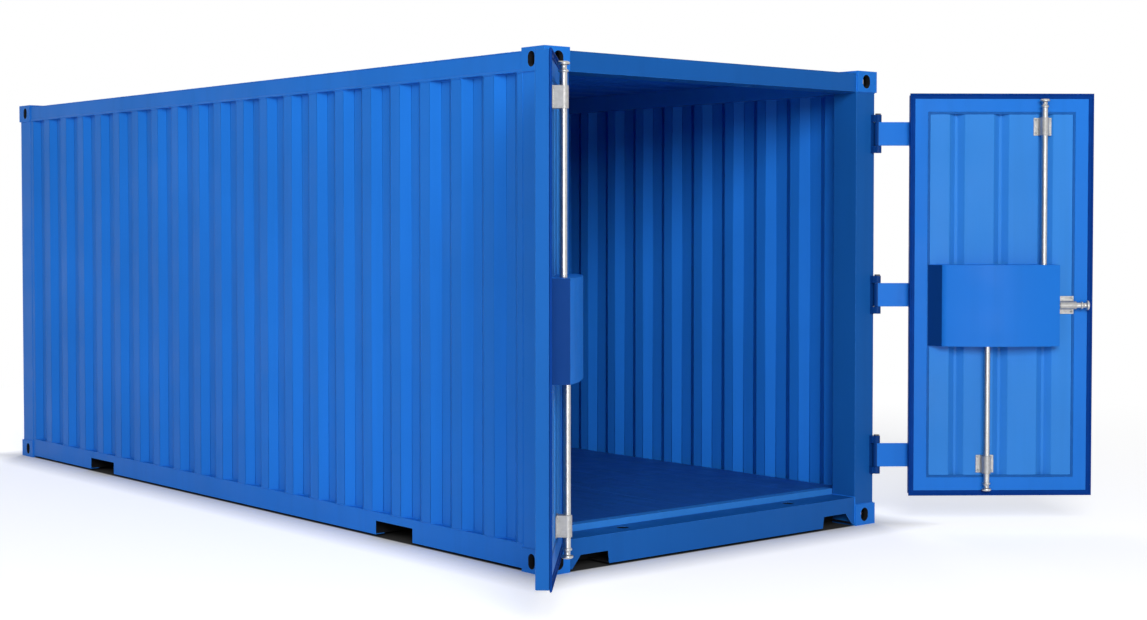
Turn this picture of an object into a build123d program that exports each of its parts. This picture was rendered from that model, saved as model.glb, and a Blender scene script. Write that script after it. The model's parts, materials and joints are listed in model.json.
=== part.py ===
"""Steel shipping container with two hinged doors, shown with both doors open.

Millimetres. The origin is the centre of the plane under the bottom corner castings.
+X points out of the door end, +Y to the right seen from outside the doors, +Z up.
Each door is drawn closed and then turned about its hinge pins to its open rest angle.
"""

import os

from build123d import *

# Overall size, over the corner castings
LENGTH = 6058.0
WIDTH = 2438.0
HEIGHT = 2565.0

# Corner castings
CASTING_LENGTH = 178.0
CASTING_WIDTH = 162.0
CASTING_HEIGHT = 118.0
CASTING_WALL = 30.0
CASTING_BACK = 12.0
CASTING_PLATE = 20.0
APERTURE_LENGTH = 124.0
APERTURE_WIDTH = 63.5
APERTURE_INSET_X = 102.5
APERTURE_INSET_Y = 89.5
SIDE_HOLE_WIDTH = 51.0
SIDE_HOLE_INSET = 101.5
END_HOLE_WIDTH = 60.0
END_HOLE_INSET = 89.0
HOLE_HEIGHT = 76.0

# Frame members
END_RECESS = 10.0
SIDE_RECESS = 8.0
POST_WALL = 6.0
RAIL_WALL = 5.0
TOP_RAIL_WIDTH = 60.0
BOTTOM_RAIL_WIDTH = 60.0
TOP_DROP = 18.0
RAIL_LIFT = 13.0
TOP_RAIL_HEIGHT = 100.0
BOTTOM_RAIL_HEIGHT = 123.0
SILL_HEIGHT = 148.0
SILL_NOTCH_HEIGHT = 64.0
SILL_NOTCH_START = 184.0
SILL_NOTCH_WIDTH = 244.0
SILL_NOTCH_OUTER_SLOPE = 55.0
SILL_NOTCH_INNER_SLOPE = 10.0

# Corrugated sheets
SHEET = 2.0
BEND_RADIUS = 9.0
WALL_DEPTH = 36.0
WALL_PITCH = 272.0
WALL_RIDGE = 84.0
WALL_SLOPE = 58.0
END_PITCH = 264.0
ROOF_RIB_HEIGHT = 14.0
ROOF_RIB_WIDTH = 150.0
ROOF_RIB_PITCH = 285.0
ROOF_BORDER = 90.0

# Floor and underframe
FLOOR_TOP = 190.0
FLOOR_THICKNESS = 28.0
FLOOR_GAP = 6.0
THRESHOLD_PLATE = 4.0
THRESHOLD_LIP = 60.0
THRESHOLD_LAP = 40.0
CROSS_HEIGHT = 122.0
CROSS_WIDTH = 45.0
CROSS_WALL = 4.5
CROSS_PITCH = 330.0
FORK_SHARE = 0.5745
FORK_WIDTH = 345.0
FORK_HEIGHT = 76.0
FORK_PLATE = 5.0

# Hinges
HINGE_INSET = 224.0
PIN_RADIUS = 11.0
PIN_FIT = 0.05
PIN_AHEAD = 25.0
PIN_OUT = 2.0
PIN_HEAD_HEIGHT = 8.0
PIN_HEAD_RADIUS = 16.0
KNUCKLE_RADIUS = 20.0
LUG_HEIGHT = 40.0
LUG_WIDTH = 31.0
LUG_PLATE = 4.0
LUG_PLATE_OUT = 5.0
STRAP_HEIGHT = 133.0
STRAP_THICK = 14.0
STRAP_LAP = 85.0
STRAP_GAP = 5.0
LUG_GAP = 1.0

# Door leaves
DOOR_GAP = 9.0
MEETING_GAP = 16.0
DOOR_THICK = 60.0
DOOR_STILE = 97.0
SEAL_WIDTH = 30.0
SEAL_THICK = 12.0
SEAL_OVERHANG = 7.0
PANEL_RECESS = 6.0
GROOVE_COUNT = 3
EDGE_FLAT_SHARE = 0.75
GROOVE_WIDTH = 85.0
GROOVE_SLOPE = 34.0
GROOVE_DEPTH = 30.0
RIGHT_OPEN = 141.0
LEFT_OPEN = 133.0

# Three-way lock on the inner faces of the doors, a little below their middle
LOCK_DROP = 56.0
BOLT_RADIUS = 17.0
BOLT_FIT = 0.1
BOLT_STANDOFF = 44.0
BOLT_TIP_INSET = 33.0
BOLT_TRAVEL = 75.0
BOLT_HEAD_RADIUS = 28.0
BOLT_HEAD_LENGTH = 16.0
BOLT_TAIL = 130.0
UPPER_BOLT_INSET = 83.0
LOWER_BOLT_OFFSET = 34.5
KEEPER_CLEARANCE = 5.0
GUIDE_LENGTH = 100.0
GUIDE_WIDTH = 101.0
GUIDE_PLATE = 5.0
GUIDE_WALL = 6.0
UPPER_GUIDE_DROP = 186.0
LOWER_GUIDE_RISE = 180.0
SIDE_GUIDE_INSET = 2.0
SIDE_GUIDE_WIDTH = 94.0
HOOD_HEIGHT = 456.0
HOOD_GUIDE_GAP = 7.0
HOOD_SHEET = 3.0
HOOD_SHOULDER_RUN = 66.0
HOOD_SHOULDER = 72.0
HOOD_BULGE = 118.0
HOOD_EDGE = 78.0
HOOD_HOLE_CLEARANCE = 1.0

# Planes and lines that several pieces share
HALF_LENGTH = LENGTH / 2
HALF_WIDTH = WIDTH / 2
INNER_END = HALF_LENGTH - CASTING_LENGTH
OPENING_HALF = HALF_WIDTH - CASTING_WIDTH
FRAME_FACE = HALF_LENGTH - END_RECESS
FRAME_SIDE = HALF_WIDTH - SIDE_RECESS
POST_BOTTOM = CASTING_HEIGHT
POST_TOP = HEIGHT - CASTING_HEIGHT
RAIL_TOP = HEIGHT - TOP_DROP
WALL_TOP = RAIL_TOP - TOP_RAIL_HEIGHT
WALL_BOTTOM = RAIL_LIFT + BOTTOM_RAIL_HEIGHT
SILL_TOP = RAIL_LIFT + SILL_HEIGHT
FLOOR_UNDER = FLOOR_TOP - FLOOR_THICKNESS
FORK_PLACE = FORK_SHARE * HALF_LENGTH

PIN_X = FRAME_FACE + PIN_AHEAD
PIN_Y = FRAME_SIDE + PIN_OUT
LEAF_OUTER = FRAME_FACE + STRAP_GAP
LEAF_INNER = LEAF_OUTER - DOOR_THICK
LEAF_EDGE = OPENING_HALF - DOOR_GAP
LEAF_WIDTH = LEAF_EDGE - MEETING_GAP / 2
LEAF_BOTTOM = SILL_TOP + DOOR_GAP
LEAF_TOP = WALL_TOP - DOOR_GAP
LEAF_HEIGHT = LEAF_TOP - LEAF_BOTTOM
LEAF_MIDDLE = (LEAF_TOP + LEAF_BOTTOM) / 2
HINGE_HEIGHTS = [LEAF_BOTTOM + HINGE_INSET, LEAF_MIDDLE, LEAF_TOP - HINGE_INSET]

STILE_EDGE = SEAL_OVERHANG + DOOR_STILE
PANEL_INNER = LEAF_INNER + PANEL_RECESS
BOLT_X = LEAF_INNER - BOLT_STANDOFF
LOCK_MIDDLE = LEAF_MIDDLE - LOCK_DROP
HOOD_BOTTOM = LOCK_MIDDLE - HOOD_HEIGHT / 2
HOOD_TOP = LOCK_MIDDLE + HOOD_HEIGHT / 2
SIDE_GUIDE_Y = LEAF_EDGE - LEAF_WIDTH + STILE_EDGE + SIDE_GUIDE_INSET
HOOD_START_Y = LEAF_EDGE - STILE_EDGE
HOOD_END_Y = SIDE_GUIDE_Y + SIDE_GUIDE_WIDTH + HOOD_GUIDE_GAP
UPPER_BOLT_Y = HOOD_END_Y + UPPER_BOLT_INSET
LOWER_BOLT_Y = (HOOD_START_Y + HOOD_END_Y) / 2 + LOWER_BOLT_OFFSET
KEEPER_RADIUS = BOLT_HEAD_RADIUS + KEEPER_CLEARANCE


def block(x_range, y_range, z_range):
    """A box between two values on each axis."""
    low = [min(pair) for pair in (x_range, y_range, z_range)]
    high = [max(pair) for pair in (x_range, y_range, z_range)]
    middle = [(a + b) / 2 for a, b in zip(low, high)]
    size = [b - a for a, b in zip(low, high)]
    return Pos(*middle) * Box(*size)


def upright(radius, x, y, z_range):
    """A round bar along Z."""
    height = max(z_range) - min(z_range)
    return Pos(x, y, (z_range[0] + z_range[1]) / 2) * Cylinder(radius, height)


def crosswise(radius, x, z, y_range):
    """A round bar along Y."""
    length = max(y_range) - min(y_range)
    return Pos(x, (y_range[0] + y_range[1]) / 2, z) * Rot(90, 0, 0) * Cylinder(radius, length)


def flip_y(shape):
    """The same shape on the other side of the container."""
    return mirror(shape, about=Plane.XZ)


def together(shapes):
    """Several separate solids of one node."""
    return Compound([solid for shape in shapes for solid in shape.solids()])


def sheet_section(points, radius):
    """A bent sheet of even thickness that follows the points, thickness toward -Y."""
    lower = [(x, y - SHEET) for x, y in points]
    edges = list(FilletPolyline(*points, radius=radius).edges())
    edges += list(FilletPolyline(*lower, radius=radius).edges())
    edges += [Line(points[0], lower[0]).edge(), Line(points[-1], lower[-1]).edge()]
    return make_face(edges)


def wall_points(length, pitch):
    """Corners of a trapezoid corrugation along X whose outer flats lie at Y = 0."""
    count = max(1, round(length / pitch))
    step = length / count
    trough = step - WALL_RIDGE - 2 * WALL_SLOPE
    points = [(-length / 2, 0.0)]
    for index in range(count):
        start = -length / 2 + index * step + WALL_RIDGE / 2
        points += [
            (start, 0.0),
            (start + WALL_SLOPE, -WALL_DEPTH),
            (start + WALL_SLOPE + trough, -WALL_DEPTH),
            (start + 2 * WALL_SLOPE + trough, 0.0),
        ]
    return points + [(length / 2, 0.0)]


def side_wall():
    """Right-hand corrugated wall between the posts."""
    section = sheet_section(wall_points(2 * INNER_END, WALL_PITCH), BEND_RADIUS)
    sheet = extrude(section, amount=WALL_TOP - WALL_BOTTOM)
    return Pos(0, FRAME_SIDE, WALL_BOTTOM) * sheet


def end_wall():
    """Corrugated wall of the closed end."""
    section = sheet_section(wall_points(2 * OPENING_HALF, END_PITCH), BEND_RADIUS)
    sheet = extrude(section, amount=WALL_TOP - WALL_BOTTOM)
    return Pos(-FRAME_FACE, 0, WALL_BOTTOM) * Rot(0, 0, 90) * sheet


def roof_panel():
    """Roof sheet on the top rails with pressed ribs across the width."""
    span = 2 * INNER_END
    roof = block((-INNER_END, INNER_END), (-FRAME_SIDE, FRAME_SIDE), (RAIL_TOP, RAIL_TOP + SHEET))
    count = max(1, int(span / ROOF_RIB_PITCH))
    rib_plan = Rectangle(ROOF_RIB_WIDTH, 2 * (FRAME_SIDE - ROOF_BORDER))
    rib = extrude(rib_plan, amount=ROOF_RIB_HEIGHT, taper=50)
    places = [span * ((index + 0.5) / count - 0.5) for index in range(count)]
    roof += [Pos(x, 0, RAIL_TOP + SHEET) * rib for x in places]
    return roof - [Pos(x, 0, RAIL_TOP) * rib for x in places]


def roof_end_plates():
    """Plates between the castings that carry the roof on to both ends."""
    plates = []
    for x_side in (-1, 1):
        x_range = (x_side * INNER_END, x_side * FRAME_FACE)
        plates.append(block(x_range, (-OPENING_HALF, OPENING_HALF), (RAIL_TOP, RAIL_TOP + SHEET)))
    return together(plates)


def corner_casting():
    """Bottom casting of the right-hand door corner, hollow with three apertures."""
    x_span = (INNER_END, HALF_LENGTH)
    y_span = (OPENING_HALF, HALF_WIDTH)
    casting = block(x_span, y_span, (0, CASTING_HEIGHT))
    casting -= block(
        (x_span[0] + CASTING_BACK, x_span[1] - CASTING_WALL),
        (y_span[0] + CASTING_BACK, y_span[1] - CASTING_WALL),
        (CASTING_PLATE, CASTING_HEIGHT - CASTING_BACK),
    )
    slot = extrude(SlotOverall(APERTURE_LENGTH, APERTURE_WIDTH), amount=CASTING_PLATE, both=True)
    casting -= Pos(HALF_LENGTH - APERTURE_INSET_X, HALF_WIDTH - APERTURE_INSET_Y, 0) * slot
    hole_x = HALF_LENGTH - SIDE_HOLE_INSET
    hole_y = HALF_WIDTH - END_HOLE_INSET
    middle_z = CASTING_HEIGHT / 2
    side_plan = Plane((hole_x, HALF_WIDTH, middle_z), x_dir=(0, 0, 1), z_dir=(0, 1, 0))
    casting -= extrude(side_plan * SlotOverall(HOLE_HEIGHT, SIDE_HOLE_WIDTH), amount=CASTING_WALL, both=True)
    end_plan = Plane((HALF_LENGTH, hole_y, middle_z), x_dir=(0, 0, 1), z_dir=(1, 0, 0))
    casting -= extrude(end_plan * SlotOverall(HOLE_HEIGHT, END_HOLE_WIDTH), amount=CASTING_WALL, both=True)
    return casting


def four_castings(top):
    """One casting at each corner, turned over for the top."""
    first = corner_casting()
    if top:
        first = Pos(0, 0, HEIGHT) * mirror(first, about=Plane.XY)
    pair = [first, flip_y(first)]
    return together(pair + [mirror(shape, about=Plane.YZ) for shape in pair])


def door_post():
    """Hollow right-hand post of the door end."""
    height = (POST_BOTTOM, POST_TOP)
    post = block((INNER_END, FRAME_FACE), (OPENING_HALF, FRAME_SIDE), height)
    return post - block(
        (INNER_END + POST_WALL, FRAME_FACE - POST_WALL),
        (OPENING_HALF + POST_WALL, FRAME_SIDE - POST_WALL),
        height,
    )


def end_post():
    """Angle-section right-hand post of the closed end."""
    height = (POST_BOTTOM, POST_TOP)
    post = block((-FRAME_FACE, -INNER_END), (OPENING_HALF, FRAME_SIDE), height)
    return post - block(
        (-FRAME_FACE + POST_WALL, -INNER_END),
        (OPENING_HALF, FRAME_SIDE - POST_WALL),
        height,
    )


def top_rail():
    """Hollow right-hand top rail."""
    y_span = (FRAME_SIDE - TOP_RAIL_WIDTH, FRAME_SIDE)
    length = (-INNER_END, INNER_END)
    rail = block(length, y_span, (WALL_TOP, RAIL_TOP))
    return rail - block(
        length,
        (y_span[0] + RAIL_WALL, y_span[1] - RAIL_WALL),
        (WALL_TOP + RAIL_WALL, RAIL_TOP - RAIL_WALL),
    )


def bottom_rail():
    """Right-hand bottom rail, a channel open to the inside with two fork openings."""
    y_inner = FRAME_SIDE - BOTTOM_RAIL_WIDTH
    length = (-INNER_END, INNER_END)
    rail = block(length, (y_inner, FRAME_SIDE), (RAIL_LIFT, WALL_BOTTOM))
    rail -= block(
        length,
        (y_inner, FRAME_SIDE - RAIL_WALL),
        (RAIL_LIFT + RAIL_WALL, WALL_BOTTOM - RAIL_WALL),
    )
    for x in (-FORK_PLACE, FORK_PLACE):
        rail -= block(
            (x - FORK_WIDTH / 2, x + FORK_WIDTH / 2),
            (y_inner, HALF_WIDTH),
            (0, RAIL_LIFT + FORK_HEIGHT),
        )
    return rail


def fork_pocket(x):
    """Tunnel across the underframe for one fork, open underneath."""
    y_end = FRAME_SIDE - RAIL_WALL
    top = RAIL_LIFT + FORK_HEIGHT
    half = FORK_WIDTH / 2
    bottom = RAIL_LIFT + RAIL_WALL
    tunnel = block((x - half - FORK_PLATE, x + half + FORK_PLATE), (-y_end, y_end), (bottom, top + FORK_PLATE))
    return tunnel - block((x - half, x + half), (-y_end, y_end), (bottom, top))


def cross_members():
    """Channels under the floor between the bottom rails, left out at the fork tunnels."""
    y_end = FRAME_SIDE - BOTTOM_RAIL_WIDTH
    bottom = FLOOR_UNDER - CROSS_HEIGHT
    first = -FRAME_FACE + TOP_RAIL_WIDTH
    span = INNER_END - first
    count = max(2, round(span / CROSS_PITCH))
    keep_out = FORK_WIDTH / 2 + FORK_PLATE
    members = []
    for index in range(1, count):
        x = first + span * index / count - CROSS_WIDTH / 2
        fork = FORK_PLACE if x > 0 else -FORK_PLACE
        over_fork = x < fork + keep_out and x + CROSS_WIDTH > fork - keep_out
        low = RAIL_LIFT + FORK_HEIGHT + FORK_PLATE if over_fork else bottom
        member = block((x, x + CROSS_WIDTH), (-y_end, y_end), (low, FLOOR_UNDER))
        member -= block(
            (x + CROSS_WALL, x + CROSS_WIDTH),
            (-y_end, y_end),
            (low + CROSS_WALL, FLOOR_UNDER - CROSS_WALL),
        )
        members.append(member)
    return together(members)


def floor_deck():
    """Floor between the side walls, behind the threshold."""
    half = FRAME_SIDE - WALL_DEPTH - SHEET - FLOOR_GAP
    start = -FRAME_FACE + WALL_DEPTH + SHEET + FLOOR_GAP
    return block((start, INNER_END - THRESHOLD_PLATE), (-half, half), (FLOOR_UNDER, FLOOR_TOP))


def threshold_plate():
    """Angle over the front edge of the floor, against the back of the sill."""
    y_span = (-OPENING_HALF, OPENING_HALF)
    plate_x = (INNER_END - THRESHOLD_PLATE, INNER_END)
    riser = block(plate_x, y_span, (SILL_TOP - THRESHOLD_LAP, FLOOR_TOP))
    lip = block((plate_x[0] - THRESHOLD_LIP, INNER_END), y_span, (FLOOR_TOP, FLOOR_TOP + THRESHOLD_PLATE))
    return riser + lip


def keeper_holes(z_range, y_reach):
    """Round holes that take the heads of the extended bolts of both doors."""
    return [upright(KEEPER_RADIUS, BOLT_X, side * y_reach, z_range) for side in (-1, 1)]


def door_header():
    """Hollow beam over the door opening with holes for the upper bolts."""
    y_span = (-OPENING_HALF, OPENING_HALF)
    header = block((INNER_END, FRAME_FACE), y_span, (WALL_TOP, RAIL_TOP))
    header -= block(
        (INNER_END + POST_WALL, FRAME_FACE - POST_WALL),
        y_span,
        (WALL_TOP + POST_WALL, RAIL_TOP - POST_WALL),
    )
    return header - keeper_holes((WALL_TOP - POST_WALL, WALL_TOP + 2 * POST_WALL), UPPER_BOLT_Y)


def door_sill():
    """Hollow beam under the door opening, notched beside the castings."""
    y_span = (-OPENING_HALF, OPENING_HALF)
    sill = block((INNER_END, FRAME_FACE), y_span, (RAIL_LIFT, SILL_TOP))
    sill -= block(
        (INNER_END + POST_WALL, FRAME_FACE - POST_WALL),
        y_span,
        (RAIL_LIFT + POST_WALL, SILL_TOP - POST_WALL),
    )
    sill -= keeper_holes((SILL_TOP - 2 * POST_WALL, SILL_TOP + POST_WALL), LOWER_BOLT_Y)
    outer = HALF_WIDTH - SILL_NOTCH_START
    inner = outer - SILL_NOTCH_WIDTH
    top = RAIL_LIFT + SILL_NOTCH_HEIGHT
    outline = Polygon(
        (outer, RAIL_LIFT - POST_WALL),
        (outer, RAIL_LIFT),
        (outer - SILL_NOTCH_OUTER_SLOPE, top),
        (inner + SILL_NOTCH_INNER_SLOPE, top),
        (inner, RAIL_LIFT),
        (inner, RAIL_LIFT - POST_WALL),
        align=None,
    )
    depth = FRAME_FACE - INNER_END - POST_WALL
    notch = Pos(FRAME_FACE + POST_WALL, 0, 0) * extrude(Plane.YZ * outline, amount=-depth - POST_WALL)
    return sill - notch - flip_y(notch)


def end_beam(z_range):
    """Hollow beam across the closed end."""
    y_span = (-OPENING_HALF, OPENING_HALF)
    x_span = (-FRAME_FACE, -FRAME_FACE + TOP_RAIL_WIDTH)
    beam = block(x_span, y_span, z_range)
    return beam - block(
        (x_span[0] + RAIL_WALL, x_span[1] - RAIL_WALL),
        y_span,
        (z_range[0] + RAIL_WALL, z_range[1] - RAIL_WALL),
    )


def hinge_lugs():
    """Pairs of ears on the right-hand door post, with a wear plate behind each strap."""
    ears = []
    reach = STRAP_HEIGHT / 2 + LUG_GAP
    plate_x = (FRAME_FACE, FRAME_FACE + LUG_PLATE)
    plate_y = (FRAME_SIDE - LUG_WIDTH, FRAME_SIDE + LUG_PLATE_OUT)
    for z in HINGE_HEIGHTS:
        ears.append(block(plate_x, plate_y, (z - STRAP_HEIGHT / 2, z + STRAP_HEIGHT / 2)))
        for z_span in ((z - reach - LUG_HEIGHT, z - reach), (z + reach, z + reach + LUG_HEIGHT)):
            ear = block((FRAME_FACE, PIN_X), (FRAME_SIDE - LUG_WIDTH, FRAME_SIDE), z_span)
            ear += upright(KNUCKLE_RADIUS, PIN_X, PIN_Y, z_span)
            ears.append(ear - upright(PIN_RADIUS + PIN_FIT, PIN_X, PIN_Y, z_span))
    return together(ears)


def hinge_pins():
    """Headed pins through the right-hand ears and straps."""
    reach = STRAP_HEIGHT / 2 + LUG_GAP + LUG_HEIGHT
    pins = []
    for z in HINGE_HEIGHTS:
        pin = upright(PIN_RADIUS, PIN_X, PIN_Y, (z - reach, z + reach))
        head = upright(PIN_HEAD_RADIUS, PIN_X, PIN_Y, (z + reach, z + reach + PIN_HEAD_HEIGHT))
        pins.append(pin + head)
    return together(pins)


def hinge_straps():
    """Plates from the hinge pins to the outer face of the right-hand leaf."""
    straps = []
    strap_end = LEAF_EDGE - SEAL_OVERHANG - STRAP_LAP
    for z in HINGE_HEIGHTS:
        z_span = (z - STRAP_HEIGHT / 2, z + STRAP_HEIGHT / 2)
        strap = block((LEAF_OUTER, LEAF_OUTER + STRAP_THICK), (strap_end, PIN_Y), z_span)
        strap += block((LEAF_OUTER, PIN_X), (PIN_Y - KNUCKLE_RADIUS, PIN_Y), z_span)
        strap += upright(KNUCKLE_RADIUS, PIN_X, PIN_Y, z_span)
        straps.append(strap - upright(PIN_RADIUS + 2 * PIN_FIT, PIN_X, PIN_Y, z_span))
    return together(straps)


def leaf_ring(x_range, inset, width):
    """A rectangular ring of the leaf's outline, set in from its edge."""
    def filled(edge):
        return block(
            x_range,
            (LEAF_EDGE - LEAF_WIDTH + edge, LEAF_EDGE - edge),
            (LEAF_BOTTOM + edge, LEAF_TOP - edge),
        )
    return filled(inset) - filled(inset + width)


def door_frame():
    """Stiles and rails of the right-hand leaf."""
    return leaf_ring((LEAF_INNER, LEAF_OUTER), SEAL_OVERHANG, DOOR_STILE)


def door_seal():
    """Rubber strip round the inner face of the right-hand leaf."""
    return leaf_ring((LEAF_INNER - SEAL_THICK, LEAF_INNER), 0, SEAL_WIDTH)


def door_panel():
    """Sheet with upright grooves that fills the frame of the right-hand leaf."""
    width = LEAF_WIDTH - 2 * STILE_EDGE
    flat = (width - GROOVE_COUNT * GROOVE_WIDTH) / (GROOVE_COUNT - 1 + 2 * EDGE_FLAT_SHARE)
    points = [(0.0, 0.0)]
    for index in range(GROOVE_COUNT):
        start = flat * EDGE_FLAT_SHARE + index * (flat + GROOVE_WIDTH)
        points += [
            (start, 0.0),
            (start + GROOVE_SLOPE, -GROOVE_DEPTH),
            (start + GROOVE_WIDTH - GROOVE_SLOPE, -GROOVE_DEPTH),
            (start + GROOVE_WIDTH, 0.0),
        ]
    points.append((width, 0.0))
    section = sheet_section(points, BEND_RADIUS)
    sheet = extrude(section, amount=LEAF_HEIGHT - 2 * STILE_EDGE)
    start_y = LEAF_EDGE - LEAF_WIDTH + STILE_EDGE
    return Pos(PANEL_INNER, start_y, LEAF_BOTTOM + STILE_EDGE) * Rot(0, 0, 90) * sheet


def hood_solid(inset, z_range):
    """Filled outline of the lock cover, drawn smaller by the inset."""
    start = HOOD_START_Y - inset
    end = HOOD_END_Y + inset
    shoulder = (LEAF_INNER - HOOD_SHOULDER + inset, start - HOOD_SHOULDER_RUN)
    crown = (LEAF_INNER - HOOD_BULGE + inset, (start + end) / 2)
    edge = (LEAF_INNER - HOOD_EDGE + inset, end)
    outline = [
        Line((PANEL_INNER, start), shoulder).edge(),
        ThreePointArc(shoulder, crown, edge).edge(),
        Line(edge, (PANEL_INNER, end)).edge(),
        Line((PANEL_INNER, end), (PANEL_INNER, start)).edge(),
    ]
    return Pos(0, 0, z_range[0]) * extrude(make_face(outline), amount=z_range[1] - z_range[0])


def lock_hood(side_bolt):
    """Curved cover over the lock with closed ends that let the bolts through."""
    hood = hood_solid(0, (HOOD_BOTTOM, HOOD_TOP))
    hood -= hood_solid(HOOD_SHEET, (HOOD_BOTTOM + HOOD_SHEET, HOOD_TOP - HOOD_SHEET))
    hole = BOLT_RADIUS + HOOD_HOLE_CLEARANCE
    hood -= upright(hole, BOLT_X, UPPER_BOLT_Y, (HOOD_TOP - 2 * HOOD_SHEET, HOOD_TOP + HOOD_SHEET))
    hood -= upright(hole, BOLT_X, LOWER_BOLT_Y, (HOOD_BOTTOM - HOOD_SHEET, HOOD_BOTTOM + 2 * HOOD_SHEET))
    if side_bolt:
        hood -= crosswise(hole, BOLT_X, LOCK_MIDDLE, (HOOD_END_Y - HOOD_SHEET, HOOD_END_Y + 2 * HOOD_SHEET))
    return hood


def guide_block(y_span, z_span, plate_y, plate_z):
    """Plate and raised neck of one bolt guide, up to the bolt's centre line."""
    guide = block((PANEL_INNER - GUIDE_PLATE, PANEL_INNER), plate_y, plate_z)
    return guide + block((BOLT_X, PANEL_INNER), y_span, z_span)


def bolt_guides(side_bolt):
    """Round-backed guides that carry the bolts on the inner face of the right-hand leaf."""
    bore = BOLT_RADIUS + BOLT_FIT
    half_saddle = BOLT_RADIUS + GUIDE_WALL
    guides = []
    upper_z = LEAF_TOP - UPPER_GUIDE_DROP
    lower_z = LEAF_BOTTOM + LOWER_GUIDE_RISE
    for y, z in ((UPPER_BOLT_Y, upper_z), (LOWER_BOLT_Y, lower_z)):
        z_span = (z - GUIDE_LENGTH / 2, z + GUIDE_LENGTH / 2)
        plate_y = (y - GUIDE_WIDTH / 2, y + GUIDE_WIDTH / 2)
        guide = guide_block((y - half_saddle, y + half_saddle), z_span, plate_y, z_span)
        guide += upright(half_saddle, BOLT_X, y, z_span)
        guides.append(guide - upright(bore, BOLT_X, y, z_span))
    if side_bolt:
        y_span = (SIDE_GUIDE_Y, SIDE_GUIDE_Y + SIDE_GUIDE_WIDTH)
        z_span = (LOCK_MIDDLE - half_saddle, LOCK_MIDDLE + half_saddle)
        plate_z = (LOCK_MIDDLE - GUIDE_WIDTH / 2, LOCK_MIDDLE + GUIDE_WIDTH / 2)
        guide = guide_block(y_span, z_span, y_span, plate_z)
        guide += crosswise(half_saddle, BOLT_X, LOCK_MIDDLE, y_span)
        guides.append(guide - crosswise(bore, BOLT_X, LOCK_MIDDLE, y_span))
    return together(guides)


def upper_bolt():
    """Upper bolt of the right-hand leaf, drawn back."""
    tip = LEAF_TOP - BOLT_TIP_INSET
    rod = upright(BOLT_RADIUS, BOLT_X, UPPER_BOLT_Y, (HOOD_TOP - BOLT_TAIL, tip))
    return rod + upright(BOLT_HEAD_RADIUS, BOLT_X, UPPER_BOLT_Y, (tip - BOLT_HEAD_LENGTH, tip))


def lower_bolt():
    """Lower bolt of the right-hand leaf, drawn back."""
    tip = LEAF_BOTTOM + BOLT_TIP_INSET
    rod = upright(BOLT_RADIUS, BOLT_X, LOWER_BOLT_Y, (tip, HOOD_BOTTOM + BOLT_TAIL))
    return rod + upright(BOLT_HEAD_RADIUS, BOLT_X, LOWER_BOLT_Y, (tip, tip + BOLT_HEAD_LENGTH))


def side_bolt():
    """Bolt of the right-hand leaf that reaches behind the other leaf, drawn back."""
    tip = LEAF_EDGE - LEAF_WIDTH + BOLT_TIP_INSET
    rod = crosswise(BOLT_RADIUS, BOLT_X, LOCK_MIDDLE, (tip, HOOD_END_Y + BOLT_TAIL))
    return rod + crosswise(BOLT_HEAD_RADIUS, BOLT_X, LOCK_MIDDLE, (tip, tip + BOLT_HEAD_LENGTH))


def open_right(shape):
    """Turn a right-hand door piece from closed to its rest angle."""
    return shape.rotate(Axis((PIN_X, PIN_Y, 0), (0, 0, 1)), RIGHT_OPEN)


def open_left(shape):
    """Mirror a right-hand door piece and turn it to the left door's rest angle."""
    return flip_y(shape).rotate(Axis((PIN_X, -PIN_Y, 0), (0, 0, 1)), -LEFT_OPEN)


def build_nodes():
    """Every node of the container by name."""
    paired = {
        "side_wall": side_wall(),
        "top_rail": top_rail(),
        "bottom_rail": bottom_rail(),
        "door_post": door_post(),
        "end_post": end_post(),
        "hinge_lugs": hinge_lugs(),
        "hinge_pins": hinge_pins(),
    }
    nodes = {
        "end_wall": end_wall(),
        "roof_panel": roof_panel(),
        "roof_end_plates": roof_end_plates(),
        "floor_deck": floor_deck(),
        "threshold_plate": threshold_plate(),
        "cross_members": cross_members(),
        "fork_pocket_door_end": fork_pocket(FORK_PLACE),
        "fork_pocket_closed_end": fork_pocket(-FORK_PLACE),
        "door_header": door_header(),
        "door_sill": door_sill(),
        "end_top_beam": end_beam((WALL_TOP, RAIL_TOP)),
        "end_bottom_beam": end_beam((RAIL_LIFT, WALL_BOTTOM)),
        "top_castings": four_castings(True),
        "bottom_castings": four_castings(False),
    }
    for name, shape in paired.items():
        nodes["right_" + name] = shape
        nodes["left_" + name] = flip_y(shape)
    leaf = {
        "door_frame": door_frame(),
        "door_panel": door_panel(),
        "door_seal": door_seal(),
        "hinge_straps": hinge_straps(),
        "top_bolt": upper_bolt(),
        "bottom_bolt": lower_bolt(),
    }
    for name, shape in leaf.items():
        nodes["right_" + name] = open_right(shape)
        nodes["left_" + name] = open_left(shape)
    nodes["right_lock_hood"] = open_right(lock_hood(True))
    nodes["left_lock_hood"] = open_left(lock_hood(False))
    nodes["right_bolt_guides"] = open_right(bolt_guides(True))
    nodes["left_bolt_guides"] = open_left(bolt_guides(False))
    nodes["right_side_bolt"] = open_right(side_bolt())
    return nodes


os.makedirs("parts", exist_ok=True)
for node_name, node_shape in build_nodes().items():
    export_step(node_shape, os.path.join("parts", node_name + ".step"))
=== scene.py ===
"""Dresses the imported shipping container: paint, welds, boards, seals, lock hardware and a studio stage."""

import json
import math
import random

import bmesh
import bpy
from bpy.props import FloatProperty, FloatVectorProperty, IntProperty, PointerProperty
from mathutils import Matrix, Vector

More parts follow.
